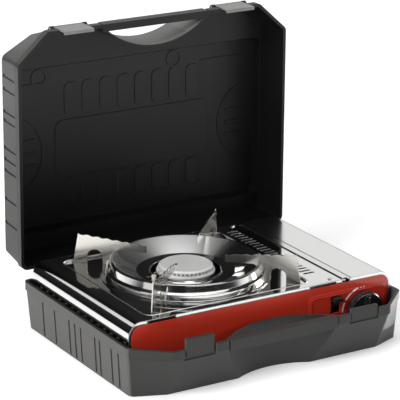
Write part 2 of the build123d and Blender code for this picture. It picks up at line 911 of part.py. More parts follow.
# Front panel with a raised pad
with BuildPart() as front_panel:
    with BuildSketch(Plane.XZ.offset(-panel_back)) as panel_outline:
        with Locations(((panel_left + panel_right) / 2, (panel_low + panel_top) / 2)):
            Rectangle(panel_right - panel_left, panel_top - panel_low)
        fillet(panel_outline.vertices().group_by(Axis.Y)[-1], panel_corner)
    extrude(amount=panel_sheet)
    with BuildSketch(Plane.XZ.offset(-stove_front)):
        with Locations(((pad_left + pad_right) / 2, (pad_low + pad_top) / 2)):
            RectangleRounded(pad_right - pad_left, pad_top - pad_low, pad_radius)
    extrude(amount=pad_proud)
    ridge = 2 * ridge_inset
    ridge_inner = ridge + 2 * ridge_width
    with BuildSketch(Plane.XZ.offset(-pad_face)):
        with Locations(((pad_left + pad_right) / 2, (pad_low + pad_top) / 2)):
            RectangleRounded(
                pad_right - pad_left - ridge,
                pad_top - pad_low - ridge,
                pad_radius - ridge_inset,
            )
            RectangleRounded(
                pad_right - pad_left - ridge_inner,
                pad_top - pad_low - ridge_inner,
                pad_radius - ridge_inset - ridge_width,
                mode=Mode.SUBTRACT,
            )
    extrude(amount=ridge_height)
    panel_through = panel_back - pad_face
    rod(facing_back(knob_x, pad_face, knob_z), spindle_hole, panel_through, Mode.SUBTRACT)
    for side in (-1, 1):
        screw_x = knob_x + side * valve_screw_spread
        rod(facing_back(screw_x, pad_face, knob_z), screw_hole, panel_through, Mode.SUBTRACT)
    span(
        (lever_x - lever_slot_width / 2, lever_x + lever_slot_width / 2),
        (pad_face, panel_back),
        (slot_low, slot_high),
        Mode.SUBTRACT,
    )
finish(front_panel, "front_panel")

# Top plate with a recess, vents and ears for the cover's hinge
with BuildPart() as top_plate:
    extrude(
        bent_sheet(Plane.XZ.offset(-stove_back), plate_edge, stove_left, sheet, skirt_low),
        amount=stove_depth,
    )
    extrude(
        bent_sheet(Plane.XZ.offset(-stove_front - sheet), plate_edge, stove_left, lip_height, skirt_low),
        amount=sheet,
    )
    extrude(end_sheet(Plane.XZ.offset(-stove_back), plate_edge, stove_left, skirt_low), amount=sheet)
    span(
        (plate_edge - sheet, plate_edge),
        (base_front, stove_back),
        (plate_top - edge_flange, plate_top),
    )
    with BuildSketch(Plane.XY.offset(plate_top)):
        with Locations((recess_x, recess_y)):
            RectangleRounded(recess_width, recess_length, recess_corner)
    extrude(amount=-recess_depth - sheet)
    with BuildSketch(Plane.XY.offset(plate_top)):
        with Locations((recess_x, recess_y)):
            RectangleRounded(recess_width - 2 * sheet, recess_length - 2 * sheet, recess_corner - sheet)
    extrude(amount=-recess_depth, mode=Mode.SUBTRACT)
    hole_radius = support_scale * burner_hole_radius
    rod(Plane(origin=(burner_x, burner_y, recess_floor - sheet)), hole_radius, sheet, Mode.SUBTRACT)
    with BuildSketch(Plane.XY.offset(plate_top)):
        with Locations((vent_x, vent_y)):
            with GridLocations(1, vent_pitch, 1, vent_count):
                SlotOverall(vent_length, vent_width)
    extrude(amount=-sheet, mode=Mode.SUBTRACT)
    for y in (ear_front, ear_back - cover_ear):
        span(
            (plate_edge - sheet, cover_axis_x + cover_ear_reach),
            (y, y + cover_ear),
            (cover_ear_low, cover_ear_high),
        )
    rod(
        facing_back(cover_axis_x, stove_front, cover_axis_z),
        cover_rod_radius + pin_clearance,
        stove_depth,
        Mode.SUBTRACT,
    )
    for x, y in plate_screw_places:
        rod(Plane(origin=(x, y, plate_top - sheet)), screw_hole, sheet, Mode.SUBTRACT)
finish(top_plate, "top_plate")

# Heat shield between the burner and the cartridge bay
shield_high = plate_top - sheet - shield_top_gap
with BuildPart() as heat_shield:
    span((shield_x, shield_x + sheet), (shield_front, shield_back), (base_floor, shield_high))
    span((shield_x - shield_foot, shield_x), (shield_front, shield_back), (base_floor, base_floor + sheet))
    for y in (shield_front, shield_back - shield_tab_length):
        span(
            (shield_x, shield_x + shield_tab),
            (y, y + shield_tab_length),
            (shield_high - sheet, shield_high),
        )
    for x, y in plate_screw_places:
        rod(Plane(origin=(x, y, shield_high - sheet)), screw_hole, sheet, Mode.SUBTRACT)
    rod(tube_plane, tube_radius + tube_room, tube_end, Mode.SUBTRACT)
    rod(facing_right(shield_x, lead_y, piezo_z), lead_hole, sheet, Mode.SUBTRACT)
finish(heat_shield, "heat_shield")

# Plate screws
with BuildPart() as plate_screws:
    for x, y in plate_screw_places:
        screw_at(x, y, plate_top, screw_length)
finish(plate_screws, "plate_screws")

# Cartridge cover with a rolled hinge edge
cover_lip_x = cover_axis_x + cover_lip_start
roll_front = ear_front + cover_ear + cover_side_gap
roll_back = ear_back - cover_ear - cover_side_gap
with BuildPart() as cartridge_cover:
    extrude(
        bent_sheet(
            Plane.XZ.offset(-stove_back),
            cover_axis_x - cover_edge_inset,
            stove_right,
            sheet,
            cover_side_low,
        ),
        amount=stove_depth,
    )
    extrude(
        bent_sheet(
            Plane.XZ.offset(-stove_front - sheet), cover_lip_x, stove_right, lip_height, cover_side_low
        ),
        amount=sheet,
    )
    extrude(
        end_sheet(Plane.XZ.offset(-stove_back), cover_lip_x, stove_right, cover_side_low), amount=sheet
    )
    rod(facing_back(cover_axis_x, roll_front, cover_axis_z), cover_roll, roll_back - roll_front)
    rod(
        facing_back(cover_axis_x, roll_front, cover_axis_z),
        cover_rod_radius + pin_clearance,
        roll_back - roll_front,
        Mode.SUBTRACT,
    )
    for y in ((stove_front, roll_front), (roll_back, stove_back)):
        span(
            (cover_axis_x - cover_edge_inset, cover_axis_x + cover_notch),
            y,
            (cover_ear_low, plate_top),
            Mode.SUBTRACT,
        )
    span(
        (cover_rib_x - cover_rib_width / 2, cover_rib_x + cover_rib_width / 2),
        (stove_front, stove_back),
        (plate_top - cover_rib_depth, plate_top),
        Mode.SUBTRACT,
    )
finish(cartridge_cover, "cartridge_cover")

# Hinge rod of the cover
with BuildPart() as cover_hinge_rod:
    rod(facing_back(cover_axis_x, ear_front, cover_axis_z), cover_rod_radius, ear_back - ear_front)
finish(cover_hinge_rod, "cover_hinge_rod")

# Cartridge guide: two saddles on a plate
guide_x = (cartridge_x - guide_width / 2, cartridge_x + guide_width / 2)
with BuildPart() as cartridge_guide:
    span(
        guide_x,
        (guide_places[0] - guide_length / 2, guide_places[1] + guide_length / 2),
        (base_floor, base_floor + sheet),
    )
    for y in guide_places:
        span(
            guide_x,
            (y - guide_length / 2, y + guide_length / 2),
            (base_floor, cartridge_z - cartridge_radius / 2),
        )
    rod(
        facing_back(cartridge_x, stove_front, cartridge_z),
        cartridge_radius + guide_gap,
        stove_depth,
        Mode.SUBTRACT,
    )
finish(cartridge_guide, "cartridge_guide")

# Pan support: a pressed ring, open at one place for the igniter
ring_low = support_low + ring_sheet / 2
with BuildPart() as pan_support_ring:
    with BuildSketch(Plane(origin=(burner_x, burner_y, 0), x_dir=(1, 0, 0), z_dir=(0, -1, 0))):
        with BuildLine() as ring_path:
            FilletPolyline(
                (support_scale * ring_flange, ring_low),
                (support_scale * ring_skirt, ring_low),
                (support_scale * ring_skirt_top, ring_step_low),
                (support_scale * ring_step, ring_step_high),
                (support_scale * ring_bead_outer, ring_top),
                (support_scale * ring_bead_inner, ring_top),
                (support_scale * bowl_radius, bowl_floor),
                (support_scale * bowl_edge, bowl_edge_z),
                (support_scale * bowl_lip, bowl_lip_z),
                radius=support_scale * ring_bend,
            )
        trace(ring_path.line, line_width=ring_sheet)
    revolve(axis=Axis((burner_x, burner_y, 0), (0, 0, 1)))
    span(
        (igniter_x - igniter_notch_room, burner_x - support_scale * cap_collar_radius),
        (igniter_y - igniter_notch / 2, igniter_y + igniter_notch / 2),
        (support_low, ring_top),
        Mode.SUBTRACT,
    )
finish(pan_support_ring, "pan_support_ring")


def fin_profile(turn):
    """Upright fin with a wavy top and an arch, cut clear of the ring."""
    along = (cos(radians(turn)), sin(radians(turn)), 0)
    across = (sin(radians(turn)), -cos(radians(turn)), 0)
    clear = fin_gap + ring_sheet / 2
    steps = 2 * fin_teeth
    tip = support_scale * fin_tip_radius
    inner = support_scale * fin_inner_radius
    flange = support_scale * ring_flange + clear
    wave = [
        (
            tip + (inner - tip) * i / steps,
            fin_tip_z + (fin_inner_z - fin_tip_z) * i / steps - fin_tooth_depth * (i % 2),
        )
        for i in range(steps + 1)
    ]
    with BuildSketch(Plane(origin=(burner_x, burner_y, 0), x_dir=along, z_dir=across)) as profile:
        with BuildLine():
            Line((fin_foot_radius, support_low), wave[0])
            Spline(*wave)
            Polyline(
                wave[-1],
                (inner, fin_low_z),
                (support_scale * fin_low_radius, fin_low_z),
                (support_scale * ring_bead_inner, ring_top + clear),
                (support_scale * ring_bead_outer + clear, ring_top + clear),
                (support_scale * ring_step + clear, ring_step_high + clear),
                (support_scale * ring_skirt_top + clear, ring_step_low + clear),
                (support_scale * ring_skirt + clear, ring_low + clear),
                (flange, ring_low + clear),
                (flange, support_low),
                (fin_foot_radius, support_low),
            )
        make_face()
        arch_radius = support_scale * fin_arch_radius
        with Locations((support_scale * fin_arch_at, fin_arch_z)):
            Circle(arch_radius, mode=Mode.SUBTRACT)
            Rectangle(
                2 * arch_radius,
                fin_arch_z - support_low,
                align=(Align.CENTER, Align.MAX),
                mode=Mode.SUBTRACT,
            )
    return profile.sketch


# Fins of the pan support
with BuildPart() as pan_fin_back_right:
    extrude(fin_profile(first_fin + fin_turn), amount=fin_sheet / 2, both=True)
finish(pan_fin_back_right, "pan_fin_back_right")

with BuildPart() as pan_fin_back_left:
    extrude(fin_profile(first_fin + quarter_turn + fin_turn), amount=fin_sheet / 2, both=True)
finish(pan_fin_back_left, "pan_fin_back_left")

with BuildPart() as pan_fin_front_left:
    extrude(fin_profile(first_fin + 2 * quarter_turn + fin_turn), amount=fin_sheet / 2, both=True)
finish(pan_fin_front_left, "pan_fin_front_left")

with BuildPart() as pan_fin_front_right:
    extrude(fin_profile(first_fin + 3 * quarter_turn + fin_turn), amount=fin_sheet / 2, both=True)
finish(pan_fin_front_right, "pan_fin_front_right")

# Burner cap with flame ports
burner_axis = Axis((burner_x, burner_y, 0), (0, 0, 1))
cap_outer = support_scale * cap_radius
cap_inner = support_scale * cap_seat
cap_top_radius = support_scale * cap_flat
cap_collar = support_scale * cap_collar_radius
cap_screw_place = burner_x + support_scale * cap_screw_x
cup_outer = support_scale * cup_radius
burner_section = Plane(origin=(burner_x, burner_y, 0), x_dir=(1, 0, 0), z_dir=(0, -1, 0))
with BuildPart() as burner_cap:
    with BuildSketch(burner_section):
        with BuildLine():
            Polyline(
                (0, cap_top),
                (cap_top_radius, cap_top),
                (cap_outer, cap_rim),
                (cap_outer, cap_neck),
                (cap_collar, cap_collar_top),
                (cap_collar, cap_low),
                (cap_inner, cap_low),
                (cap_inner, cap_top - cap_wall),
                (0, cap_top - cap_wall),
                close=True,
            )
        make_face()
    revolve(axis=burner_axis)
    with Locations((burner_x, burner_y, port_low)):
        with PolarLocations((cap_outer + cap_inner) / 2, port_count):
            Box(
                2 * (cap_outer - cap_inner),
                support_scale * port_width,
                port_height,
                align=(Align.CENTER, Align.CENTER, Align.MIN),
                mode=Mode.SUBTRACT,
            )
    rod(
        Plane(origin=(cap_screw_place, burner_y, cap_low)),
        screw_hole,
        cap_top - cap_low,
        Mode.SUBTRACT,
    )
finish(burner_cap, "burner_cap")

# Burner cap screw
with BuildPart() as burner_cap_screw:
    screw_at(cap_screw_place, burner_y, cap_top, cap_screw_length)
finish(burner_cap_screw, "burner_cap_screw")

# Burner cup with a spigot for the mixing tube
with BuildPart() as burner_cup:
    with BuildSketch(burner_section):
        with BuildLine():
            Polyline(
                (0, cup_low),
                (cup_base_radius, cup_low),
                (cup_base_radius, cup_shoulder),
                (cup_outer, cup_rim_low),
                (cup_outer, cap_low),
                (cup_outer - cup_wall, cap_low),
                (cup_outer - cup_wall, cup_rim_low + cup_wall / 2),
                (cup_base_radius - cup_wall, cup_shoulder + cup_wall / 2),
                (cup_base_radius - cup_wall, cup_low + cup_wall),
                (0, cup_low + cup_wall),
                close=True,
            )
        make_face()
    revolve(axis=burner_axis)
    spigot_radius = tube_bore - fit_gap
    rod(tube_plane.offset(spigot_start), spigot_radius, spigot_end - spigot_start)
    rod(tube_plane, spigot_radius - spigot_wall, spigot_end, Mode.SUBTRACT)
    boss_low = cup_shoulder + cup_wall / 2
    rod(Plane(origin=(cap_screw_place, burner_y, boss_low)), cap_boss, cap_low - boss_low)
    rod(
        Plane(origin=(cap_screw_place, burner_y, cap_top - cap_screw_length)),
        screw_hole,
        cap_screw_length,
        Mode.SUBTRACT,
    )
finish(burner_cup, "burner_cup")

# Burner bracket standing on the base
with BuildPart() as burner_bracket:
    span(bracket_x, (bracket_near, bracket_far), (bracket_low, cup_low))
    span(bracket_x, (bracket_near, bracket_near + bracket_sheet), (base_floor, cup_low))
    span(bracket_x, (bracket_far - bracket_sheet, bracket_far), (base_floor, cup_low))
    span(bracket_x, (bracket_near - bracket_foot, bracket_near), (base_floor, base_floor + bracket_sheet))
    span(bracket_x, (bracket_far, bracket_far + bracket_foot), (base_floor, base_floor + bracket_sheet))
    for y in (bracket_near - bracket_foot / 2, bracket_far + bracket_foot / 2):
        rod(Plane(origin=(burner_x, y, base_floor)), screw_hole, bracket_sheet, Mode.SUBTRACT)
finish(burner_bracket, "burner_bracket")

# Screws of the burner bracket
with BuildPart() as burner_screws:
    for y in (bracket_near - bracket_foot / 2, bracket_far + bracket_foot / 2):
        screw_at(burner_x, y, base_floor + bracket_sheet, floor_screw_length)
finish(burner_screws, "burner_screws")

# Mixing tube
with BuildPart() as mixing_tube:
    rod(tube_plane.offset(tube_start), tube_radius, tube_end - tube_start)
    rod(tube_plane.offset(tube_start), tube_bore, tube_end - tube_start, Mode.SUBTRACT)
finish(mixing_tube, "mixing_tube")

# Gas nozzle
nozzle_start = tube_end - nozzle_lap
nozzle_length = tube_run.length + nozzle_depth - nozzle_start
with BuildPart() as gas_nozzle:
    rod(tube_plane.offset(nozzle_start), nozzle_radius, nozzle_length)
    rod(tube_plane.offset(nozzle_start), nozzle_bore, nozzle_length, Mode.SUBTRACT)
finish(gas_nozzle, "gas_nozzle")

# Gas valve with a socket for the cartridge
valve_front = panel_back + body_gap
with BuildPart() as valve_body:
    span((valve_left, valve_right), (valve_front, valve_back), (valve_low, valve_high))
    rod(facing_back(cartridge_x, valve_back, cartridge_z), socket_radius, socket_length)
    rod(
        facing_back(cartridge_x, valve_back + socket_length - socket_depth, cartridge_z),
        socket_bore,
        socket_depth,
        Mode.SUBTRACT,
    )
    rod(
        facing_back(knob_x, valve_front, knob_z),
        spindle_radius + fit_gap,
        spindle_depth,
        Mode.SUBTRACT,
    )
    for side in (-1, 1):
        rod(
            facing_back(knob_x + side * valve_screw_spread, valve_front, knob_z),
            screw_hole,
            valve_screw_length,
            Mode.SUBTRACT,
        )
    rod(
        tube_plane.offset(nozzle_start),
        nozzle_radius + fit_gap,
        nozzle_length + fit_gap,
        Mode.SUBTRACT,
    )
finish(valve_body, "valve_body")

# Screws of the valve, driven from the front
with BuildPart() as valve_screws:
    for side in (-1, 1):
        screw_x = knob_x + side * valve_screw_spread
        rod(facing_back(screw_x, pad_face - screw_head_height, knob_z), screw_head, screw_head_height)
        rod(facing_back(screw_x, pad_face, knob_z), screw_radius, valve_screw_length)
finish(valve_screws, "valve_screws")

# Valve spindle
spindle_front = knob_back - spindle_grip
with BuildPart() as valve_spindle:
    rod(
        facing_back(knob_x, spindle_front, knob_z),
        spindle_radius,
        valve_front + spindle_depth - body_gap - spindle_front,
    )
finish(valve_spindle, "valve_spindle")

# Control knob with a grip bar
with BuildPart() as control_knob:
    rod(facing_back(knob_x, knob_face, knob_z), knob_radius, knob_back - knob_face)
    chamfer(control_knob.edges().group_by(Axis.Y)[0], knob_edge)
    with BuildSketch(Plane.XZ.offset(-knob_face)):
        with Locations((knob_x, knob_z)):
            Circle(knob_radius - 2 * knob_edge)
            Rectangle(knob_grip_width, 2 * knob_radius, mode=Mode.INTERSECT)
    extrude(amount=knob_grip)
    rod(
        facing_back(knob_x, spindle_front - body_gap, knob_z),
        spindle_radius + fit_gap,
        spindle_grip + body_gap,
        Mode.SUBTRACT,
    )
finish(control_knob, "control_knob")

# Piezo igniter on the valve
with BuildPart() as piezo_igniter:
    span(
        (piezo_x - piezo_size / 2, piezo_x + piezo_size / 2),
        (piezo_front, piezo_back),
        (valve_high, valve_high + piezo_size),
    )
    rod(facing_back(piezo_x, piezo_front - plunger_length, piezo_z), plunger_radius, plunger_length)
finish(piezo_igniter, "piezo_igniter")

# Igniter bracket, standing on the burner bracket
strap_top = igniter_strap_z + bracket_sheet
strap_y = (igniter_y - igniter_strap_width / 2, igniter_y + igniter_strap_width / 2)
upright_x = bracket_x[0] + igniter_foot_gap
with BuildPart() as igniter_bracket:
    span((upright_x, upright_x + igniter_foot), strap_y, (cup_low, cup_low + bracket_sheet))
    span((upright_x, upright_x + bracket_sheet), strap_y, (cup_low, strap_top))
    span((igniter_x - igniter_strap_end, upright_x), strap_y, (igniter_strap_z, strap_top))
    rod(
        Plane(origin=(igniter_x, igniter_y, igniter_strap_z)),
        ceramic_radius + fit_gap,
        bracket_sheet,
        Mode.SUBTRACT,
    )
finish(igniter_bracket, "igniter_bracket")

# Igniter ceramic with a collar that rests on its bracket
with BuildPart() as igniter_ceramic:
    rod(Plane(origin=(igniter_x, igniter_y, ceramic_low)), ceramic_radius, ceramic_high - ceramic_low)
    rod(Plane(origin=(igniter_x, igniter_y, strap_top)), collar_radius, collar_height)
finish(igniter_ceramic, "igniter_ceramic")

# Igniter electrode bent towards the burner
electrode_z = ceramic_high + electrode_rise
with BuildPart() as igniter_electrode:
    with BuildLine() as electrode_path:
        FilletPolyline(
            (igniter_x, igniter_y, ceramic_high),
            (igniter_x, igniter_y, electrode_z),
            (igniter_x + electrode_reach, igniter_y, electrode_z),
            radius=electrode_bend,
        )
    with BuildSketch(Plane(origin=(igniter_x, igniter_y, ceramic_high))):
        Circle(electrode_radius)
    sweep(path=electrode_path.line)
finish(igniter_electrode, "igniter_electrode")

# Igniter lead from the piezo to the ceramic
lead_top = ceramic_low - lead_end_gap
with BuildPart() as igniter_lead:
    with BuildLine() as lead_path:
        FilletPolyline(
            (igniter_x, igniter_y, lead_top),
            (igniter_x, igniter_y, lead_drop_z),
            (burner_x - lead_left, burner_y - lead_near, lead_floor_z),
            (shield_x - lead_right_room, stove_front + lead_turn_depth, lead_floor_z),
            (shield_x - lead_rise_room, lead_y, piezo_z),
            (piezo_x, lead_y, piezo_z),
            (piezo_x, piezo_back + lead_end_gap, piezo_z),
            radius=lead_bends,
        )
    with BuildSketch(Plane(origin=(igniter_x, igniter_y, lead_top))):
        Circle(lead_radius)
    sweep(path=lead_path.line)
finish(igniter_lead, "igniter_lead")

# Lock lever: a tab in front, a slider behind the panel and an arm with a pin
lever_half = lever_height / 2
slider_front = panel_back + lever_plate_gap
with BuildPart() as lock_lever:
    span(
        (lever_x - lever_width / 2, lever_x + lever_width / 2),
        (pad_face - body_gap - lever_reach, pad_face - body_gap),
        (lever_z - lever_half, lever_z + lever_half),
    )
    span(
        (lever_x - lever_shank_width / 2, lever_x + lever_shank_width / 2),
        (pad_face - body_gap, slider_front),
        (lever_z - lever_half, lever_z + lever_half),
    )
    span(
        (lever_x - lever_plate_width / 2, lever_x + lever_plate_width / 2),
        (slider_front, slider_front + lever_plate),
        (lever_z - lever_plate_height / 2, lever_z + lever_plate_height / 2),
    )
    span(
        (lever_arm_x, lever_arm_x + lever_arm_width),
        (slider_front, lever_pin_y + lever_arm_end),
        (lever_pin_z - lever_arm_height / 2, lever_pin_z + lever_arm_height / 2),
    )
    rod(
        facing_right(lever_arm_x, lever_pin_y, lever_pin_z), lever_pin_radius, lever_pin_end - lever_arm_x
    )
finish(lock_lever, "lock_lever")

# Cartridge pusher with a slanted cam slot
cam_back_y = lever_pin_y + pusher_travel
slot_width = 2 * (lever_pin_radius + cam_gap)
pusher_x = (cartridge_x - pusher_plate_width / 2, cartridge_x + pusher_plate_width / 2)
pusher_high = cartridge_z + pusher_plate_height / 2
strip_x = (cam_x - pusher_strip_width / 2, cam_x + pusher_strip_width / 2)
with BuildPart() as cartridge_pusher:
    span(
        (cam_x, cam_x + cam_plate),
        (lever_pin_y - cam_margin, cam_back_y + cam_margin),
        (strip_low, lever_pin_z + cam_margin),
    )
    with BuildSketch(Plane.YZ.offset(cam_x)):
        SlotCenterPoint(
            ((lever_pin_y + cam_back_y) / 2, lever_pin_z - lever_travel / 2),
            (lever_pin_y, lever_pin_z),
            slot_width,
        )
    extrude(amount=cam_plate, mode=Mode.SUBTRACT)
    span(strip_x, (lever_pin_y - cam_margin, pusher_back), (strip_low, strip_high))
    span((strip_x[0], pusher_x[1]), (pusher_back - pusher_bar, pusher_back), (strip_low, strip_high))
    span(pusher_x, (pusher_back - cam_plate, pusher_back), (strip_low, pusher_high))
finish(cartridge_pusher, "cartridge_pusher")
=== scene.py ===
import json
import math

import bpy
from mathutils import Matrix, Vector


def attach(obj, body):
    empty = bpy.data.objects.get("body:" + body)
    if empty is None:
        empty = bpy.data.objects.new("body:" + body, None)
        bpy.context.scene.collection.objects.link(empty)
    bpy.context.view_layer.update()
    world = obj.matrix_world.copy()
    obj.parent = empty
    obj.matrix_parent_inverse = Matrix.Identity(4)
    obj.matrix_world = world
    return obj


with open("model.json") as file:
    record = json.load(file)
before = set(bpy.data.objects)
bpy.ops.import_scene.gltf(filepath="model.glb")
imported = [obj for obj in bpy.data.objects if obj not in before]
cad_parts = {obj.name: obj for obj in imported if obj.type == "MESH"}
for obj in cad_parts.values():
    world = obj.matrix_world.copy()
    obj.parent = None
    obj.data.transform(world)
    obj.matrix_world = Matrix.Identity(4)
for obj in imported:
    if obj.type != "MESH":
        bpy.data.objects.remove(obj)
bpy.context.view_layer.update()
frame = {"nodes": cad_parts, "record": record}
nodes = frame["nodes"]

# Places on the stove, in metres
BURNER = (-0.038, 0.017)
KNOB = (0.1465, 0.0430)
KNOB_FACE = -0.1174
KNOB_GRIP_FACE = -0.1214
PAD_PRINT_DEPTH = -0.1060

# Printed dial round the knob: lengths in metres, angles in radians from the right
DIAL_REACH = 0.0300
DIAL_HALF_LINE = 0.0011
DIAL_ARC = (1.80, 3.10)
DIAL_GAP_AT = 2.62
DIAL_HALF_GAP = 0.06
DIAL_DOTS = (1.66, 1.50)
DIAL_DOT_RADIUS = 0.0011

# Parts of the lid's outside that have a tone of their own, standing open; the grip's paler tone is
# painted light
LID_TOP_FROM = 0.25
GRIP_LOW = 0.335
GRIP_HIGH = 0.372
GRIP_HALF_WIDTH = 0.085

# Heights between which the painted light on the open lid's left side fades, so it darkens, and its
# painted sheen grows
LID_PALE_HEIGHTS = (0.08, 0.22)
LID_SHEEN_HEIGHTS = (0.11, 0.30)

# Right end of the case, from here outwards, where the right-facing faces get painted light and a
# painted sheen
CASE_RIGHT_END = 0.15

# Part of the pan support's bowl, front to back, over which its wall turns satin
SATIN_FROM = BURNER[1] - 0.05
SATIN_TO = BURNER[1] + 0.04

# Height over which the igniter's ceramic is browned by the flame
SOOT_LOW = 0.086
SOOT_HIGH = 0.094

# Tints that a grey is multiplied by
NEUTRAL = (1.0, 1.0, 1.0)
PLASTIC_TINT = (1.0, 0.985, 0.95)
STEEL_TINT = (1.0, 0.995, 0.98)
CASTING_TINT = (1.0, 0.99, 0.96)
FIN_TINT = (1.0, 0.97, 0.90)

# Pattern of the moulded plastic
GRAIN_SCALE = 1400.0
FLOW_SCALE = 9.0
FLOW_STRETCH = (1.0, 1.0, 2.5)

# Rolling direction of sheet, as the stretch of its streaks
ROLLED_ALONG_X = (1.0, 40.0, 40.0)
ROLLED_ALONG_Y = (40.0, 1.0, 40.0)

# Rounded shoulder of the pressed recess round the burner
RECESS_SIZE = (0.236, 0.222)
RECESS_CORNER = 0.013
RECESS_MIDDLE = (-0.040, 0.017, 0.0873)
SHOULDER_WIDTH = 0.0014
SHOULDER_ROUNDING = 0.45

# Row of short ribs on the tray's inner left wall
RIB_SIZE = (0.0042, 0.0040, 0.0140)
RIB_ROUNDING = 0.0005
FIRST_RIB = (-0.1929, -0.0920, 0.0535)
RIB_COUNT = 14
RIB_PITCH = 0.0165

# Silver band round the knob's face, and the pointer line let into its grip
BAND_REACH = 0.0236
BAND_WIDTH = 0.0016
BAND_DEPTH = 0.0010
BAND_ROUNDING = 0.3
POINTER_SIZE = (0.0014, 0.0006, 0.0150)
POINTER_ROUNDING = 0.0002
POINTER_PROUD = 0.0001
POINTER_RISE = 0.0130

# Meshing of added pieces
RING_SIDES = 96
CORNER_SIDES = 10
SMOOTH_ANGLE = math.radians(35)

# Floor, sky and lamps. A lamp has its place, size, power and whether metal mirrors it
FLOOR_SIZE = 14.0
FLOOR_DROP = 0.0003
FLOOR_GLOW = 0.22
SKY_HORIZON = 0.16
SKY_TOP = 0.75
SKY_TOP_FROM = 0.8
LAMP_TARGET = (0.0, 0.05, 0.10)
LAMPS = {
    "key": ((-3.0, -0.7, 2.0), (2.0, 2.0), 150.0, False),
    "fill": ((0.7, -2.9, 1.2), (6.0, 1.1), 32.0, True),
    "left": ((-3.2, -0.9, 0.6), (2.4, 1.1), 7.0, True),
    "top": ((0.3, 0.2, 3.2), (2.6, 2.6), 40.0, True),
    "backdrop": ((0.9, 3.4, 1.7), (5.0, 2.6), 38.0, True),
    "side": ((3.0, 0.2, 0.5), (1.2, 1.2), 60.0, True),
}

# Camera fitted to the photograph
CAMERA_PLACE = (-1.39344, -2.24471, 1.05510)
CAMERA_TURN = math.radians(-31.31)
CAMERA_TILT = math.radians(18.32)
CAMERA_ROLL = math.radians(0.46)
CAMERA_LENS = 201.73
CAMERA_SENSOR = 36.0
CAMERA_SIGHT = 50.0


class Signal:
    """A number that varies over a surface. Sums and products add Math nodes."""

    def __init__(self, paint, socket):
        self.paint = paint
        self.socket = socket

    def join(self, operation, first, second):
        return self.paint.node("ShaderNodeMath", {"operation": operation}, {0: first, 1: second})

    def __add__(self, other):
        return self.join("ADD", self, other)

    def __radd__(self, other):
        return self.join("ADD", other, self)

    def __sub__(self, other):
        return self.join("SUBTRACT", self, other)

    def __rsub__(self, other):
        return self.join("SUBTRACT", other, self)

    def __mul__(self, other):
        return self.join("MULTIPLY", self, other)

    def __rmul__(self, other):
        return self.join("MULTIPLY", other, self)

    def __pow__(self, other):
        return self.join("POWER", self, other)

    def __gt__(self, other):
        return self.join("GREATER_THAN", self, other)

    def __lt__(self, other):
        return self.join("LESS_THAN", self, other)

    def __abs__(self):
        return self.join("ABSOLUTE", self, 0.0)


class Paint:
    """A material being mixed on a Principled shader."""

    def __init__(self, name):
        self.material = bpy.data.materials.new(name)
        self.material.use_nodes = True
        self.tree = self.material.node_tree
        self.shader = self.tree.nodes["Principled BSDF"]
        self.place = self.node("ShaderNodeTexCoord", {}, {}, "Object")

    def feed(self, socket, value):
        if isinstance(value, Signal):
            self.tree.links.new(value.socket, socket)
        else:
            socket.default_value = value

    def node(self, kind, settings, values, output=0):
        made = self.tree.nodes.new(kind)
        for key, value in settings.items():
            setattr(made, key, value)
        for key, value in values.items():
            self.feed(made.inputs[key], value)
        return Signal(self, made.outputs[output])

    def set(self, **values):
        for key, value in values.items():
            self.feed(self.shader.inputs[key.replace("_", " ")], value)
        return self

    def noise(self, scale, detail, stretch=(1.0, 1.0, 1.0)):
        at = self.node("ShaderNodeMapping", {}, {"Vector": self.place, "Scale": stretch})
        return self.node("ShaderNodeTexNoise", {}, {"Vector": at, "Scale": scale, "Detail": detail})

    def axes(self):
        parts = self.tree.nodes.new("ShaderNodeSeparateXYZ")
        self.tree.links.new(self.place.socket, parts.inputs[0])
        return [Signal(self, output) for output in parts.outputs]

    def facing(self, axis):
        """One part of the surface's direction, fixed to the piece as it moves."""
        normal = self.node("ShaderNodeTexCoord", {}, {}, "Normal")
        return self.node("ShaderNodeSeparateXYZ", {}, {0: normal}, axis)

    def ramp(self, value, start, end, first, last):
        """From first at start to last at end, and level beyond both."""
        return self.node("ShaderNodeMapRange", {}, {0: value, 1: start, 2: end, 3: first, 4: last})

    def mix(self, amount, first, second):
        return self.node(
            "ShaderNodeMix", {"data_type": "RGBA"}, {"Factor": amount, 6: first, 7: second}, 2
        )

    def bump(self, height, distance, edge=0.0):
        """Relief of a height, over edges rounded by the given radius."""
        values = {"Height": height, "Distance": distance, "Strength": 1.0}
        if edge:
            values["Normal"] = self.node("ShaderNodeBevel", {"samples": 4}, {"Radius": edge})
        return self.node("ShaderNodeBump", {}, values)


def shade(grey, tint=NEUTRAL):
    return (grey * tint[0], grey * tint[1], grey * tint[2], 1.0)


def moulded_plastic(name, dark, light, rough, grain, edge, painted_light_side):
    """Moulded plastic with a fine grain and flow marks, paler on its sides from painted light, with
    a painted sheen at the right.
    """
    p = Paint(name)
    rightward = p.facing("X")
    # Painted light: the left faces and the right end's right faces take a paler grey
    right = (rightward > 0.5) * (p.axes()[0] > CASE_RIGHT_END)
    sides = (rightward < -0.8) + right
    grains = p.noise(GRAIN_SCALE, 3.0)
    flow = p.noise(FLOW_SCALE, 3.0, FLOW_STRETCH)
    plain = p.mix(flow, shade(dark, PLASTIC_TINT), shade(light, PLASTIC_TINT))
    return p.set(
        Base_Color=p.mix(sides, plain, shade(painted_light_side, PLASTIC_TINT)),
        Roughness=rough + 0.10 * (flow - 0.5) + 0.08 * (grains - 0.5),
        Normal=p.bump(grains, grain, edge),
        Specular_IOR_Level=0.4,
        # Painted sheen: a coat on the right end's right faces only
        Coat_Weight=right * 0.9,
        Coat_Roughness=0.22,
    )


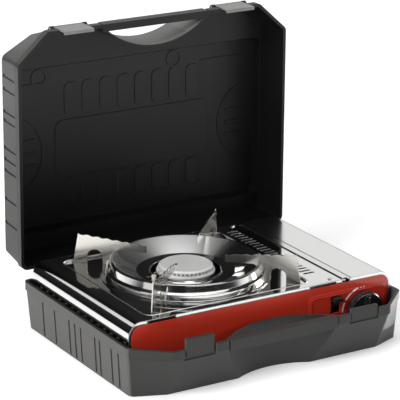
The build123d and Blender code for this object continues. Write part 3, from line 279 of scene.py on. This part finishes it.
def lid_moulding(name):
    """The same plastic on the lid: dark inside from painted shade, grey outside, paler at the left
    and in the grip from painted light.
    """
    p = Paint(name)
    grains = p.noise(GRAIN_SCALE, 3.0)
    flow = p.noise(FLOW_SCALE, 3.0, FLOW_STRETCH)
    x, _, z = p.axes()
    rightward = p.facing("X")
    backward = p.facing("Y")
    upward = p.facing("Z")
    left_side = (rightward < -0.5) * (x < 0.0)
    right_side = (rightward > 0.5) * (x > 0.0)
    top = (upward > 0.9) * (z > LID_TOP_FROM)
    grip = (upward > 0.15) * (z > GRIP_LOW) * (z < GRIP_HIGH) * (abs(x) < GRIP_HALF_WIDTH)
    outside = top + (backward > 0.3) + right_side + grip
    # Painted light: the open lid's left side paler low down; painted sheen: a coat that grows with
    # height
    low = p.ramp(z, *LID_PALE_HEIGHTS, 1.0, 0.0)
    painted_sheen = p.ramp(z, *LID_SHEEN_HEIGHTS, 0.05, 0.55)
    # Painted shade: the inside near black, darker than the same plastic outside
    inner = p.mix(flow, shade(0.0040), shade(0.0060))
    painted_light_side = p.mix(low, shade(0.033, PLASTIC_TINT), shade(0.056, PLASTIC_TINT))
    # Painted light: the grip paler than the rest of the outside
    outer = p.mix(grip, shade(0.024, PLASTIC_TINT), shade(0.13, PLASTIC_TINT))
    return p.set(
        Base_Color=p.mix(outside, p.mix(left_side, inner, painted_light_side), outer),
        Roughness=0.42 + 0.10 * (flow - 0.5) + 0.08 * (grains - 0.5),
        Normal=p.bump(grains, 0.00012, 0.0016),
        Specular_IOR_Level=0.08,
        # Painted sheen, weaker on the top
        Coat_Weight=painted_sheen * (1.0 - 0.7 * top),
        Coat_Roughness=0.36,
    )


def polished_steel(name, grey, rough, streak, edge, turn=ROLLED_ALONG_X, tint=STEEL_TINT):
    """Bright rolled sheet: fine rolling streaks, slight waviness and light smudges."""
    p = Paint(name)
    rolled = p.noise(24.0, 4.0, turn)
    wavy = p.noise(14.0, 1.0)
    smudge = p.noise(30.0, 4.0)
    return p.set(
        Base_Color=p.mix(rolled, shade(grey, tint), shade(grey + 0.06, tint)),
        Metallic=1.0,
        Roughness=rough + 0.05 * (rolled - 0.5) + 0.05 * (smudge - 0.4),
        Normal=p.bump(rolled * 0.15 + wavy, streak, edge),
    )


def support_steel(name, grey, rough, satin):
    """Chromed pressing, satin on the back wall of its bowl and bright elsewhere."""
    p = Paint(name)
    wavy = p.noise(14.0, 1.0)
    smudge = p.noise(30.0, 4.0)
    far = p.ramp(p.axes()[1], SATIN_FROM, SATIN_TO, 0.0, 1.0)
    frontward = p.ramp(p.facing("Y"), 0.0, -0.2, 0.0, 1.0)
    return p.set(
        Base_Color=p.mix(smudge, shade(grey), shade(grey + 0.06, STEEL_TINT)),
        Metallic=1.0,
        Roughness=rough + (satin - rough) * (far * frontward) + 0.05 * (smudge - 0.4),
        Normal=p.bump(wavy, 0.00008, 0.0006),
    )


def cast_alloy(name, grey, rough, metal):
    """Satin die casting with turning rings round the burner's middle."""
    p = Paint(name)
    at = p.node(
        "ShaderNodeMapping",
        {"vector_type": "TEXTURE"},
        {"Vector": p.place, "Location": (*BURNER, 0.0)},
    )
    flat = p.node("ShaderNodeVectorMath", {"operation": "MULTIPLY"}, {0: at, 1: (1.0, 1.0, 0.0)})
    reach = p.node("ShaderNodeVectorMath", {"operation": "LENGTH"}, {0: flat}, "Value")
    rings = p.node("ShaderNodeMath", {"operation": "SINE"}, {0: reach * 9000.0})
    pores = p.noise(700.0, 4.0)
    patch = p.noise(40.0, 3.0)
    return p.set(
        Base_Color=p.mix(patch, shade(grey), shade(grey + 0.12, CASTING_TINT)),
        Metallic=metal,
        Roughness=rough + 0.12 * (patch - 0.5) + 0.05 * rings,
        Normal=p.bump(pores + 0.1 * rings, 0.00012, 0.0006),
    )


def galvanised_sheet(name, grey):
    """Zinc-coated sheet with its crystal spangle."""
    p = Paint(name)
    spangle = p.node("ShaderNodeTexVoronoi", {}, {"Vector": p.place, "Scale": 160.0}, "Color")
    tone = p.node("ShaderNodeSeparateColor", {}, {0: spangle})
    film = p.noise(60.0, 4.0)
    return p.set(
        Base_Color=p.mix(tone, shade(grey - 0.06), shade(grey + 0.08)),
        Metallic=1.0,
        Roughness=0.34 + 0.18 * (tone - 0.5) + 0.1 * (film - 0.5),
        Normal=p.bump(film, 0.0001),
    )


def turned_metal(name, colour, rough):
    """Drawn or turned bar with fine tool lines and handling marks."""
    p = Paint(name)
    lines = p.noise(900.0, 2.0, (1.0, 0.2, 1.0))
    marks = p.noise(120.0, 4.0)
    bright = tuple(min(1.0, part * 1.15) for part in colour)
    return p.set(
        Base_Color=p.mix(marks, (*colour, 1.0), (*bright, 1.0)),
        Metallic=1.0,
        Roughness=rough + 0.14 * (marks - 0.5) + 0.06 * (lines - 0.5),
        Normal=p.bump(lines, 0.00006, 0.0004),
    )


def gloss_plastic(name, colour, rough, edge):
    """Glossy moulded plastic with faint hairlines and dust."""
    p = Paint(name)
    hairs = p.noise(60.0, 5.0, (1.0, 1.0, 14.0))
    dust = p.noise(500.0, 2.0)
    pale = tuple(part + 0.012 for part in colour)
    return p.set(
        Base_Color=p.mix(dust, (*colour, 1.0), (*pale, 1.0)),
        Roughness=rough + 0.10 * (hairs - 0.5) + 0.04 * (dust - 0.5),
        Normal=p.bump(hairs, 0.00005, edge),
    )


def soft_rubber(name, grey):
    """Dull rubber with a fine bloom."""
    p = Paint(name)
    bloom = p.noise(90.0, 4.0)
    grains = p.noise(1100.0, 2.0)
    return p.set(
        Base_Color=p.mix(bloom, shade(grey), shade(grey * 1.5)),
        Roughness=0.78 + 0.12 * (bloom - 0.5),
        Normal=p.bump(grains, 0.0001),
    )


def glazed_ceramic(name):
    """Cream insulator under a clear glaze, browned a little near the flame."""
    p = Paint(name)
    crackle = p.noise(300.0, 4.0)
    soot = p.ramp(p.axes()[2], SOOT_LOW, SOOT_HIGH, 0.0, 0.5)
    return p.set(
        Base_Color=p.mix(soot * crackle, (0.80, 0.76, 0.66, 1.0), (0.30, 0.22, 0.14, 1.0)),
        Roughness=0.16 + 0.2 * (crackle - 0.5),
        Normal=p.bump(crackle, 0.00005),
        Coat_Weight=0.4,
    )


def dial_print(p):
    """Where the plain dial is printed: an arc with a gap, and two dots."""
    x, y, z = p.axes()
    across = x - KNOB[0]
    upward = z - KNOB[1]
    reach = (across * across + upward * upward) ** 0.5
    angle = p.node("ShaderNodeMath", {"operation": "ARCTAN2"}, {0: upward, 1: across})
    line = abs(reach - DIAL_REACH) < DIAL_HALF_LINE
    arc = line * (angle > DIAL_ARC[0]) * (angle < DIAL_ARC[1])
    marks = arc * (abs(angle - DIAL_GAP_AT) > DIAL_HALF_GAP)
    for turn in DIAL_DOTS:
        off_x = across - DIAL_REACH * math.cos(turn)
        off_z = upward - DIAL_REACH * math.sin(turn)
        marks = marks + (((off_x * off_x + off_z * off_z) ** 0.5) < DIAL_DOT_RADIUS)
    return marks * (y < PAD_PRINT_DEPTH)


def red_enamel(name):
    """Red stoved enamel with a faint orange peel and a plain printed dial round the knob."""
    p = Paint(name)
    peel = p.noise(420.0, 2.0)
    depth = p.noise(12.0, 3.0)
    enamel = p.mix(depth, (0.450, 0.026, 0.012, 1.0), (0.530, 0.036, 0.017, 1.0))
    return p.set(
        Base_Color=p.mix(dial_print(p), enamel, (0.85, 0.83, 0.80, 1.0)),
        Roughness=0.24 + 0.10 * (depth - 0.5),
        Normal=p.bump(peel, 0.00006, 0.0012),
        Coat_Weight=0.35,
        Coat_Roughness=0.06,
    )


def dress(material, *names):
    for name in names:
        slots = nodes[name].material_slots
        for index in range(len(slots)):
            slots[index].material = material
        if not slots:
            nodes[name].data.materials.append(material)


FINISHES = {
    # The last number of each moulding is the paler grey of the painted light on its side faces
    "tray_plastic": moulded_plastic("tray moulding", 0.020, 0.025, 0.50, 0.00016, 0.0012, 0.071),
    "lid_plastic": lid_moulding("lid moulding"),
    # Painted light: the latches' pale grey stands in for light falling on dark plastic
    "latch_plastic": moulded_plastic("latch moulding", 0.180, 0.200, 0.38, 0.00012, 0.0008, 0.190),
    "pin_steel": turned_metal("pin steel", (0.55, 0.55, 0.56), 0.30),
    "base_steel": galvanised_sheet("zinc sheet", 0.34),
    "foot_rubber": soft_rubber("foot rubber", 0.020),
    "panel_enamel": red_enamel("red enamel"),
    "plate_steel": polished_steel("plate steel", 0.70, 0.06, 0.00005, 0.0016),
    "cover_steel": polished_steel("cover steel", 0.72, 0.18, 0.00005, 0.0010, ROLLED_ALONG_Y),
    "screw_steel": turned_metal("screw steel", (0.60, 0.60, 0.60), 0.26),
    "support_chrome": support_steel("support chrome", 0.70, 0.09, 0.34),
    "burner_alloy": cast_alloy("burner casting", 0.60, 0.46, 0.35),
    "tube_steel": turned_metal("tube steel", (0.48, 0.48, 0.49), 0.34),
    "nozzle_brass": turned_metal("brass", (0.60, 0.42, 0.16), 0.26),
    "valve_alloy": cast_alloy("valve casting", 0.46, 0.42, 1.0),
    "knob_plastic": gloss_plastic("knob black", (0.008, 0.008, 0.009), 0.22, 0.0008),
    "piezo_plastic": gloss_plastic("igniter black", (0.020, 0.020, 0.022), 0.30, 0.0005),
    "ceramic": glazed_ceramic("igniter ceramic"),
    "lead_rubber": soft_rubber("lead sleeve", 0.45),
    "lever_plastic": gloss_plastic("lever black", (0.008, 0.008, 0.009), 0.28, 0.0006),
}
for entry in frame["record"]["subparts"]:
    dress(FINISHES[entry["material_slot"]].material, entry["node"])

FIN_STEEL = polished_steel("fin steel", 0.64, 0.20, 0.00006, 0.0003, tint=FIN_TINT)
dress(
    FIN_STEEL.material,
    "pan_fin_back_right",
    "pan_fin_back_left",
    "pan_fin_front_left",
    "pan_fin_front_right",
)

# Finishes of added pieces that no CAD piece has
# The shoulder's shape is real; its steel, paler and rougher than the plate's, is a painted
# highlight along the recess edge
SHOULDER_STEEL = polished_steel("shoulder steel", 0.92, 0.32, 0.00003, 0.0)
BAND_METAL = turned_metal("knob band", (0.30, 0.30, 0.31), 0.22)


def clear_selection():
    bpy.ops.object.select_all(action="DESELECT")


def settle(piece, name, finish, body):
    """Name a finished piece, put its place in its mesh and let it ride."""
    clear_selection()
    piece.name = name
    piece.data.name = name
    piece.select_set(True)
    bpy.context.view_layer.objects.active = piece
    bpy.ops.object.transform_apply(location=True, rotation=True, scale=True)
    piece.data.materials.clear()
    piece.data.materials.append(finish.material)
    bpy.ops.object.shade_smooth_by_angle(angle=SMOOTH_ANGLE)
    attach(piece, body)


def thicken(piece, depth, rounding, segments):
    """Give a flat outline a depth and rounded edges."""
    thick = piece.modifiers.new("thick", "SOLIDIFY")
    thick.thickness = depth
    thick.offset = 0.0
    bpy.ops.object.modifier_apply(modifier="thick")
    soft = piece.modifiers.new("soft", "BEVEL")
    soft.width = depth * rounding
    soft.segments = segments
    bpy.ops.object.modifier_apply(modifier="soft")


def rounded_bar(size, place, rounding):
    """Bar with bevelled edges."""
    clear_selection()
    bpy.ops.mesh.primitive_cube_add(size=1.0, location=place)
    bar = bpy.context.object
    bar.scale = size
    bpy.ops.object.transform_apply(location=False, rotation=False, scale=True)
    bpy.ops.object.mode_set(mode="EDIT")
    bpy.ops.mesh.select_all(action="SELECT")
    bpy.ops.mesh.bevel(offset=rounding, segments=2)
    bpy.ops.object.mode_set(mode="OBJECT")
    return bar


def rib_row():
    """Short ribs in a row from front to back."""
    ribs = rounded_bar(RIB_SIZE, FIRST_RIB, RIB_ROUNDING)
    row = ribs.modifiers.new("row", "ARRAY")
    row.count = RIB_COUNT
    row.use_relative_offset = False
    row.use_constant_offset = True
    row.constant_offset_displace = (0.0, RIB_PITCH, 0.0)
    bpy.ops.object.modifier_apply(modifier="row")
    return ribs


def silver_ring(reach, width, depth, place):
    """Flat ring facing the front, with rounded edges."""
    clear_selection()
    bpy.ops.mesh.primitive_circle_add(
        vertices=RING_SIDES, radius=reach, location=place, rotation=(math.radians(90.0), 0.0, 0.0)
    )
    ring = bpy.context.object
    bpy.ops.object.mode_set(mode="EDIT")
    bpy.ops.mesh.select_mode(type="VERT")
    bpy.ops.mesh.select_all(action="SELECT")
    bpy.ops.mesh.extrude_region_move()
    share = (reach - width) / reach
    bpy.ops.transform.resize(value=(share, 1.0, share), center_override=place)
    bpy.ops.mesh.select_all(action="SELECT")
    bpy.ops.mesh.normals_make_consistent(inside=False)
    bpy.ops.object.mode_set(mode="OBJECT")
    thicken(ring, depth, BAND_ROUNDING, 2)
    return ring


def recess_shoulder(size, corner, width, place):
    """Rounded bead along a rectangle with rounded corners, lying flat."""
    clear_selection()
    bpy.ops.mesh.primitive_plane_add(size=1.0, location=place)
    bead = bpy.context.object
    bead.scale = (*size, 1.0)
    bpy.ops.object.transform_apply(location=False, rotation=False, scale=True)
    bpy.ops.object.mode_set(mode="EDIT")
    bpy.ops.mesh.select_mode(type="VERT")
    bpy.ops.mesh.select_all(action="SELECT")
    bpy.ops.mesh.bevel(offset=corner, segments=CORNER_SIDES, affect="VERTICES")
    bpy.ops.mesh.select_mode(type="FACE")
    bpy.ops.mesh.select_all(action="SELECT")
    bpy.ops.mesh.inset(thickness=width)
    bpy.ops.mesh.delete(type="FACE")
    bpy.ops.object.mode_set(mode="OBJECT")
    thicken(bead, width, SHOULDER_ROUNDING, 3)
    return bead


shoulder = recess_shoulder(RECESS_SIZE, RECESS_CORNER, SHOULDER_WIDTH, RECESS_MIDDLE)
settle(shoulder, "recess_shoulder", SHOULDER_STEEL, "stove")

# The ribs take the latches' pale grey, painted light that shows them as pale ticks on the dark wall
settle(rib_row(), "tray_ribs", FINISHES["latch_plastic"], "case")

band = silver_ring(BAND_REACH, BAND_WIDTH, BAND_DEPTH, (KNOB[0], KNOB_FACE, KNOB[1]))
settle(band, "knob_band", BAND_METAL, "knob")

pointer_place = (KNOB[0], KNOB_GRIP_FACE - POINTER_PROUD, KNOB[1] + POINTER_RISE)
pointer = rounded_bar(POINTER_SIZE, pointer_place, POINTER_ROUNDING)
settle(pointer, "knob_pointer", FINISHES["screw_steel"], "knob")


def pale_floor():
    clear_selection()
    bpy.ops.mesh.primitive_plane_add(size=FLOOR_SIZE, location=(0.0, 0.0, -FLOOR_DROP))
    floor = bpy.context.object
    floor.name = "floor"
    p = Paint("floor")
    p.set(
        Base_Color=p.mix(p.noise(3.0, 2.0), shade(0.96), shade(0.97)),
        Roughness=0.7,
        Emission_Color=shade(1.0),
        Emission_Strength=FLOOR_GLOW,
    )
    floor.data.materials.append(p.material)


def soft_box(name, place, size, power, mirrored):
    data = bpy.data.lights.new(name, "AREA")
    data.shape = "RECTANGLE"
    data.size = size[0]
    data.size_y = size[1]
    data.energy = power
    lamp = bpy.data.objects.new(name, data)
    bpy.context.scene.collection.objects.link(lamp)
    lamp.location = place
    lamp.visible_glossy = mirrored
    aim = Vector(LAMP_TARGET) - Vector(place)
    lamp.rotation_euler = aim.to_track_quat("-Z", "Y").to_euler()


def studio():
    """Sky that brightens upwards, and the lamps."""
    world = bpy.data.worlds.new("studio")
    world.use_nodes = True
    tree = world.node_tree
    way = tree.nodes.new("ShaderNodeTexCoord")
    parts = tree.nodes.new("ShaderNodeSeparateXYZ")
    rise = tree.nodes.new("ShaderNodeMapRange")
    rise.inputs["From Min"].default_value = 0.0
    rise.inputs["From Max"].default_value = SKY_TOP_FROM
    rise.inputs["To Min"].default_value = SKY_HORIZON
    rise.inputs["To Max"].default_value = SKY_TOP
    tree.links.new(way.outputs["Generated"], parts.inputs[0])
    tree.links.new(parts.outputs["Z"], rise.inputs["Value"])
    tree.links.new(rise.outputs[0], tree.nodes["Background"].inputs["Strength"])
    bpy.context.scene.world = world
    for name, (place, size, power, mirrored) in LAMPS.items():
        soft_box(name, place, size, power, mirrored)
    bpy.context.scene.view_settings.view_transform = "Standard"


def photograph_camera():
    """Camera at the angle of the photograph."""
    right = Vector((math.cos(CAMERA_TURN), math.sin(CAMERA_TURN), 0.0))
    back = Vector(
        (
            math.sin(CAMERA_TURN) * math.cos(CAMERA_TILT),
            -math.cos(CAMERA_TURN) * math.cos(CAMERA_TILT),
            math.sin(CAMERA_TILT),
        )
    )
    up = back.cross(right)
    across = right * math.cos(CAMERA_ROLL) + up * math.sin(CAMERA_ROLL)
    upward = up * math.cos(CAMERA_ROLL) - right * math.sin(CAMERA_ROLL)
    data = bpy.data.cameras.new("camera")
    data.lens = CAMERA_LENS
    data.sensor_width = CAMERA_SENSOR
    data.clip_end = CAMERA_SIGHT
    camera = bpy.data.objects.new("camera", data)
    bpy.context.scene.collection.objects.link(camera)
    rows = [[across[i], upward[i], back[i], CAMERA_PLACE[i]] for i in range(3)]
    camera.matrix_world = Matrix(rows + [[0.0, 0.0, 0.0, 1.0]])
    bpy.context.scene.camera = camera


pale_floor()
studio()
photograph_camera()
